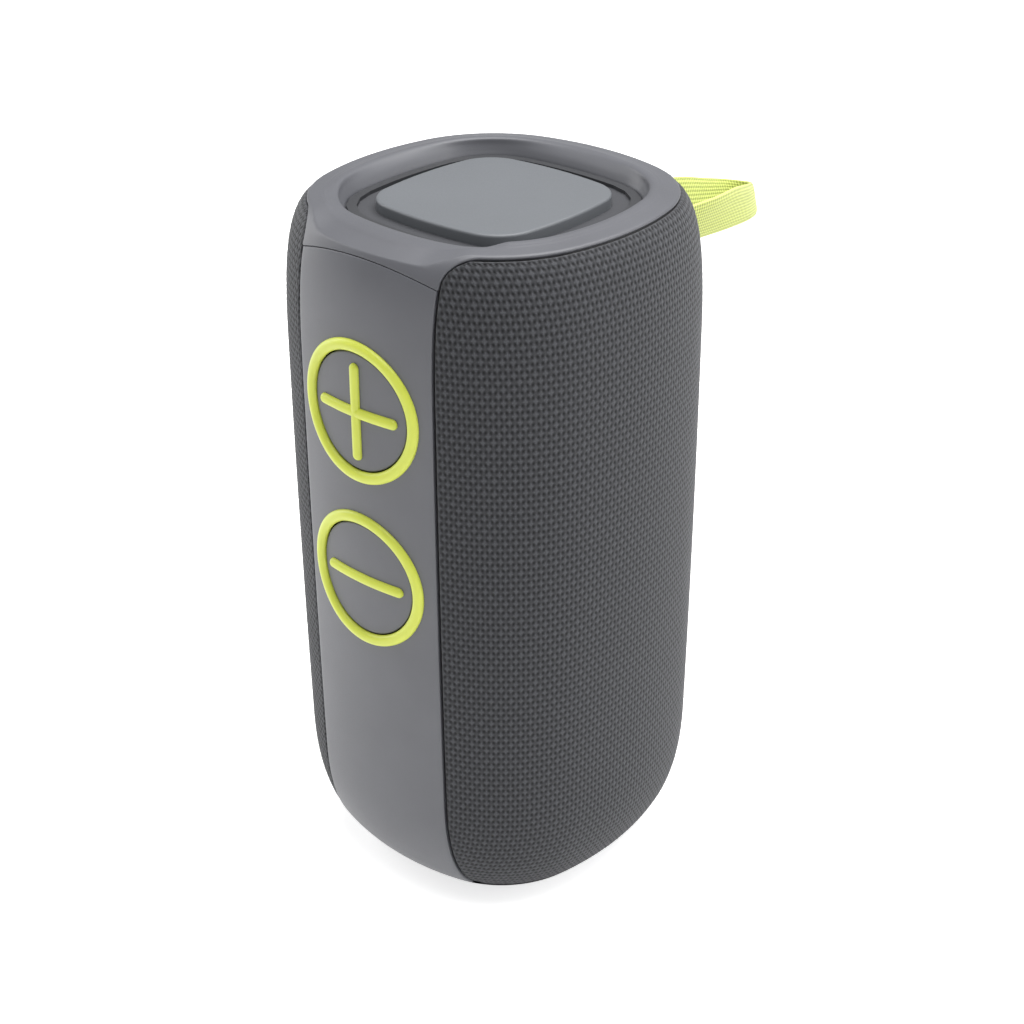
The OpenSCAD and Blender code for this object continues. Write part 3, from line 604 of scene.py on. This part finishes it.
BAR_L, BAR_W, BAR_H = 20.5, 2.2, 0.95
for word, z0 in (("plus", PLUS_Z), ("minus", MINUS_Z)):
    button = word + "_button"
    new_object(word + "_key_face", disc_mesh(z0, RING_IN - 0.25), button, [word + "_key"], SHELL)
    new_object(word + "_ring_bead", ring_bead(z0), "root", [word + "_ring"], ACCENT)
    bars = [bar_bead(z0, BAR_L, BAR_W, BAR_H, upright) for upright in ([False, True] if word == "plus" else [False])]
    new_object(word + "_symbol_bead", joined(word, bars), button, [word + "_symbol"], ACCENT)

new_object("power_key_face", disc_mesh(POWER_Z, POWER_R, facing=-1.0, dish=0.35), "power_button",
           ["power_key"], SHELL)


def port_cover_mesh():
    rings = []
    for inset, sink in ((0, 1.4), (0, 0.3), (0.05, 0.12), (0.15, 0.04), (0.35, 0), (1.5, 0), (3.0, 0), (5.0, 0)):
        p = rounded_box(0, PORT_Z, PORT_W - 2 * inset, PORT_H - 2 * inset, max(0.2, PORT_CORNER - inset))
        rings.append(front_point(p[:, 0], p[:, 1], np.full(len(p), -sink)))
    points = np.stack(rings)
    points[..., :2] *= -1
    return grid_mesh("cover", points, close_columns=True, caps=("last",))


new_object("socket_cover", port_cover_mesh(), "cover", ["port_cover"], SHELL)

# ---------------------------------------------------------------- top rim
RECESS_HALF, RECESS_FLOOR = 25.6, 148.5
RIM_TOP = [(31.6, 150.98), (31.0, 151.12), (30.5, 151.2), (29.9, 151.34), (29.2, 151.38), (28.5, 151.15),
           (27.8, 150.7), (27.2, 150.2), (26.75, 149.75), (26.4, 149.3), (26.1, 148.8), (25.8, 148.2),
           (25.6, 147.5)]
DIP_TOP = [(33.2, 149.3), (32.2, 149.7), (31.4, 149.9), (30.2, 150.02), (29.2, 150.06), (28.5, 150.0),
           (27.8, 149.85), (27.2, 149.6), (26.75, 149.3), (26.4, 148.95), (26.1, 148.55), (25.8, 148.05),
           (25.6, 147.5)]
DIP_JOIN = (0, 0.1, 0.3, 0.55, 0.8) + (1,) * 8     # from the seam's side of the dip to the recess's side


def smooth_step(x, low, high):
    t = np.clip((x - low) / (high - low), 0, 1)
    return t * t * (3 - 2 * t)


def dip_shares(theta):
    """How far the rim has dipped at its outer edge and at the recess: 1 over the control strip."""
    x, y = ring(theta, 30.0)
    outer = np.where(y < 0, 1 - smooth_step(np.abs(x), 11.0, 19.0), 0)
    polar = np.degrees(np.arctan2(y, x))
    inner = smooth_step(polar, -150, -118) * (1 - smooth_step(polar, -53, -42))
    return outer, inner


def spline(points, steps=6):
    """Catmull-Rom curve through points."""
    p = np.asarray(points, float)
    p = np.vstack([2 * p[0] - p[1], p, 2 * p[-1] - p[-2]])
    t = np.linspace(0, 1, steps, endpoint=False)[:, None]
    out = []
    for i in range(1, len(p) - 2):
        a, b, c, d = p[i - 1:i + 3]
        out.append(0.5 * (2 * b + (c - a) * t + (2 * a - 5 * b + 4 * c - d) * t ** 2
                          + (3 * b - a - 3 * c + d) * t ** 3))
    return np.vstack(out + [p[-2:-1]])


def rim_profiles():
    """Height and half width from below the seam to the recess, plain and over the dip."""
    z_plain = np.linspace(143.5, 150.6, 90)
    plain = np.column_stack([body_half(z_plain), z_plain])
    z_dip = np.linspace(143.5, 148.2, 90)
    dip = np.column_stack([body_half(z_dip), z_dip])
    curve_plain = spline([tuple(plain[-1])] + RIM_TOP)
    curve_dip = spline([tuple(dip[-1])] + DIP_TOP)
    knots = np.arange(1, len(DIP_JOIN) + 1)
    join = np.interp(np.linspace(0, knots[-1], len(curve_dip)), knots, DIP_JOIN)
    join = np.concatenate([np.zeros(len(dip) - 1), join])
    return np.vstack([plain[:-1], curve_plain]), np.vstack([dip[:-1], curve_dip]), join


def rim_bound(x):
    """Height of the rim's lower edge, over the strips and round the cloth's corners."""
    x = np.abs(x)
    r = CLOTH_CORNER + GAP
    x0 = STRIP_HALF + GAP / 2
    across = np.clip(x0 + r - x, 0, r)
    corner = CLOTH_TOP + GAP / 2 - r + np.sqrt(r * r - across ** 2)
    return np.where(x <= x0, arch(x) + SEAM_GAP / 2, corner)


def rim_columns():
    """Normal angles round the rim, closer together at the cloth's corners."""
    d = np.concatenate([np.arange(-45, -34, 1.0), np.arange(-34, -19, 0.25), np.arange(-19, 19, 1.0),
                        np.arange(19, 34, 0.25), np.arange(34, 45, 1.0)])
    front_rear = np.concatenate([np.radians(d - 90), np.radians(d + 90)])
    sides = np.radians(np.concatenate([np.arange(-45, 45, 1.5), np.arange(135, 225, 1.5)]))
    return np.sort(np.concatenate([front_rear, sides]) % (2 * math.pi))


RIM_T = 2.4


def rim_mesh():
    plain, dip, join = rim_profiles()
    theta = rim_columns()
    outer, inner = dip_shares(theta)
    w = (outer[:, None] * (1 - join) + inner[:, None] * join)[..., None]
    path = plain[None] * (1 - w) + dip[None] * w
    half, z = path[..., 0], path[..., 1]
    inward = np.clip((28.7 - half) / (28.7 - 25.8), 0, 1)
    inward = inward * inward * (3 - 2 * inward)
    side_r = (half + SIDE_GROWTH) * (1 - inward) + 3.5 * half * inward
    corner_r = (half + CORNER_GROWTH) * (1 - inward) + 0.55 * half * inward
    x, y = ring(theta[:, None], half, side_r, corner_r)
    above = z - rim_bound(x)
    edge = np.array([0, 0.03, 0.09, 0.18, 0.35, 0.6])
    points = []
    for i in range(len(theta)):
        first = int(np.argmax(above[i] > 0))
        length = np.concatenate([[0], np.cumsum(np.hypot(np.diff(half[i]), np.diff(z[i])))])
        share = above[i][first - 1] / (above[i][first - 1] - above[i][first])
        start = length[first - 1] + share * (length[first] - length[first - 1])
        mid = np.linspace(start + 0.9, length[-1], 64)
        s = np.concatenate([start + edge, mid])
        row = np.column_stack([np.interp(s, length, a) for a in (x[i], y[i], z[i], half[i])])
        over_strip = abs(row[0, 0]) < STRIP_HALF and abs(row[0, 1]) > abs(row[0, 0])
        sink = tucked(s - start, SEAM_ROLL if over_strip else STRIP_ROLL)
        slope_h, slope_z = np.gradient(row[:, 3], s), np.gradient(row[:, 2], s)
        size = np.hypot(slope_h, slope_z)
        outward = np.column_stack([np.cos(theta[i]) * slope_z / size, np.sin(theta[i]) * slope_z / size,
                                   -slope_h / size])
        line = row[:, :3] - outward * sink[:, None]
        inner = row[:1, :3] - outward[:1] * 1.6
        points.append(np.vstack([inner, line]))
    points = np.stack(points)
    mesh = grid_mesh("top_rim", points, close_rows=True, flip=False)
    return mesh


new_object("top_crest", rim_mesh(), "root", ["top_rim"], SHELL)


# ---------------------------------------------------------------- top radiator
def slab_rings(levels, side_share, corner_share, count=160):
    """Rings of a rounded square from (half, z) levels."""
    theta = np.linspace(0, 2 * math.pi, count, endpoint=False)
    rows = []
    for half, z in levels:
        x, y = ring(theta, half, side_share * half, corner_share * half)
        rows.append(np.column_stack([x, y, np.full(count, z)]))
    return np.stack(rows)


PLATE_TOP, PLATE_HALF = 149.65, 19.85
plate = slab_rings([(PLATE_HALF, 146.9), (PLATE_HALF, PLATE_TOP - 0.6), (PLATE_HALF - 0.05, PLATE_TOP - 0.35),
                    (PLATE_HALF - 0.18, PLATE_TOP - 0.15), (PLATE_HALF - 0.38, PLATE_TOP - 0.04),
                    (PLATE_HALF - 0.6, PLATE_TOP), (PLATE_HALF - 3, PLATE_TOP + 0.02),
                    (PLATE_HALF - 9, PLATE_TOP + 0.05), (PLATE_HALF - 15, PLATE_TOP + 0.06)], 3.95, 0.453)
new_object("radiator_face", grid_mesh("plate", plate, close_columns=True, caps=("last",)), "radiator",
           ["radiator_plate"], PLATE)
surround = slab_rings([(25.8, 147.6), (25.4, 147.6), (24.9, 147.56), (24.2, 147.45), (23.4, 147.32),
                       (22.5, 147.25), (21.6, 147.25), (20.8, 147.3), (20.2, 147.32), (19.6, 147.32),
                       (19.6, 147.0)], 3.5, 0.55)
new_object("radiator_roll", grid_mesh("roll", surround, close_columns=True), "root",
           ["radiator_surround"], RUBBER)

# ---------------------------------------------------------------- foot end
cap_z = np.array([4.0, 3.4, 2.8, 2.2, 1.7, 1.3, 1.0, 0.8, 0.68, 0.6])
theta_all = np.linspace(0, 2 * math.pi, 200, endpoint=False)
cap_rows = [on_body(theta_all, np.full(200, z), 0) for z in cap_z]
last_half = float(body_half(SHELL_FOOT))
for inset, z in ((0.5, 0.55), (1.4, 0.55), (2.2, 0.55)):
    x, y = ring(theta_all, last_half - inset)
    cap_rows.append(np.column_stack([x, y, np.full(200, z)]))
x, y = ring(theta_all, 22.3, 22.3 * 3.95, 22.3 * 0.453)
cap_rows.append(np.column_stack([x, y, np.full(200, 0.6)]))
cap_rows.append(np.column_stack([x, y, np.full(200, 1.6)]))
new_object("foot_shell", grid_mesh("foot", np.stack(cap_rows), close_columns=True, flip=True), "root",
           ["base_cap"], SHELL)

# ---------------------------------------------------------------- webbing loop
WEB_T = 1.2
WEB_TOP = [(-2.6, 36.0, 136.9), (-3.6, 45, 136.9), (-5.4, 58, 136.2), (-6.6, 70, 133.7), (-6.9, 80, 130.8),
           (-5.4, 87.2, 129.0), (-1.0, 89.8, 128.6), (3.0, 83.5, 130.6), (5.8, 74.5, 132.7),
           (7.2, 64.4, 133.3), (6.2, 54, 133.6), (4.0, 45, 135.4), (2.6, 36.0, 136.6)]
WEB_FOOT = [(-2.6, 36.0, 126.7), (-2.8, 45, 126.6), (-3.2, 58, 124.6), (-3.6, 70, 122.2), (-3.6, 80, 121.0),
            (-2.6, 87.5, 120.8), (0, 91.3, 121.0), (2.6, 85.3, 121.6), (3.6, 75.5, 122.4),
            (3.4, 66, 123.0), (3.2, 56, 123.8), (2.8, 45, 125.6), (2.6, 36.0, 126.4)]


def ribbon():
    top, foot = spline(WEB_TOP, 14), spline(WEB_FOOT, 14)
    across = np.linspace(0, 1, 13)
    face = top[:, None] * (1 - across[None, :, None]) + foot[:, None] * across[None, :, None]
    run = np.concatenate([[0], np.cumsum(np.linalg.norm(np.diff(face[:, 6], axis=0), axis=1))])
    along = np.gradient(face, axis=0)
    wide = np.gradient(face, axis=1)
    normal = np.cross(along, wide)
    normal /= np.linalg.norm(normal, axis=-1, keepdims=True)
    width = np.linalg.norm(top - foot, axis=1).mean()
    crown = 1 - 0.55 * np.abs(2 * across - 1) ** 6
    thick = (WEB_T / 2 * crown)[None, :, None]
    loop = np.concatenate([face + normal * thick, (face - normal * thick)[:, ::-1]], axis=1)
    u = np.broadcast_to(run[:, None], loop.shape[:2])
    v = np.concatenate([across * width, across[::-1] * width])
    v = np.broadcast_to(v, loop.shape[:2])
    where = np.stack([u, v, np.zeros_like(u)], -1)
    mesh = grid_mesh("webbing", loop, close_columns=True, caps=("first", "last"), cloth=where)
    return mesh, width, run[-1]


loop_mesh, web_width, web_run = ribbon()
loop = new_object("carry_loop", loop_mesh, "root", ["strap"], WEBBING)


# ---------------------------------------------------------------- floor, world and lamps
def make_stage():
    mesh = bpy.data.meshes.new("floor")
    side = 6.0
    mesh.from_pydata([(-side, -side, 0), (side, -side, 0), (side, side, 0), (-side, side, 0)], [],
                     [(0, 1, 2, 3)])
    floor = bpy.data.objects.new("floor", mesh)
    scene.collection.objects.link(floor)
    m = Nodes("floor", Roughness=0.9, Base_Color=(0.88, 0.88, 0.88, 1), Specular_IOR_Level=0.1)
    path = m.node("ShaderNodeLightPath")
    seen = m.math("ADD", path.outputs["Is Camera Ray"], path.outputs["Is Glossy Ray"], clamp=True)
    glow = m.node("ShaderNodeEmission", {"Color": (1, 1, 1, 1), "Strength": m.math("ADD", m.math("MULTIPLY", seen, 0.55), 0.12)})
    both = m.node("ShaderNodeAddShader", {0: m.shader.outputs[0], 1: glow.outputs[0]})
    m.tree.links.new(both.outputs[0], m.tree.nodes["Material Output"].inputs["Surface"])
    mesh.materials.append(m.material)


WORLD_LEVEL = 0.37


def make_world():
    world = bpy.data.worlds.new("world")
    scene.world = world
    world.use_nodes = True
    tree = world.node_tree
    path = tree.nodes.new("ShaderNodeLightPath")
    seen = tree.nodes.new("ShaderNodeMath")
    seen.operation = "ADD"
    seen.use_clamp = True
    tree.links.new(path.outputs["Is Camera Ray"], seen.inputs[0])
    tree.links.new(path.outputs["Is Transmission Ray"], seen.inputs[1])
    level = tree.nodes.new("ShaderNodeMapRange")
    tree.links.new(seen.outputs[0], level.inputs["Value"])
    level.inputs["To Min"].default_value = WORLD_LEVEL
    level.inputs["To Max"].default_value = 1.0
    back = tree.nodes["Background"]
    back.inputs["Color"].default_value = (1, 1, 1, 1)
    tree.links.new(level.outputs[0], back.inputs["Strength"])


def softbox(name, at, size, power):
    data = bpy.data.lights.new(name, "AREA")
    data.shape = "RECTANGLE"
    data.size, data.size_y = size
    data.energy = power
    lamp = bpy.data.objects.new(name, data)
    scene.collection.objects.link(lamp)
    lamp.location = at
    aim = Vector((0, 0, 0.08)) - Vector(at)
    lamp.rotation_euler = aim.to_track_quat("-Z", "Y").to_euler()


make_stage()
make_world()
softbox("top", (0.1, 0.15, 0.95), (0.9, 0.9), 13.5)
softbox("left", (-1.0, -0.2, 0.45), (0.5, 0.9), 4.5)
softbox("right", (0.8, 0.55, 0.45), (0.5, 0.9), 3.8)
scene.view_settings.view_transform = "Standard"
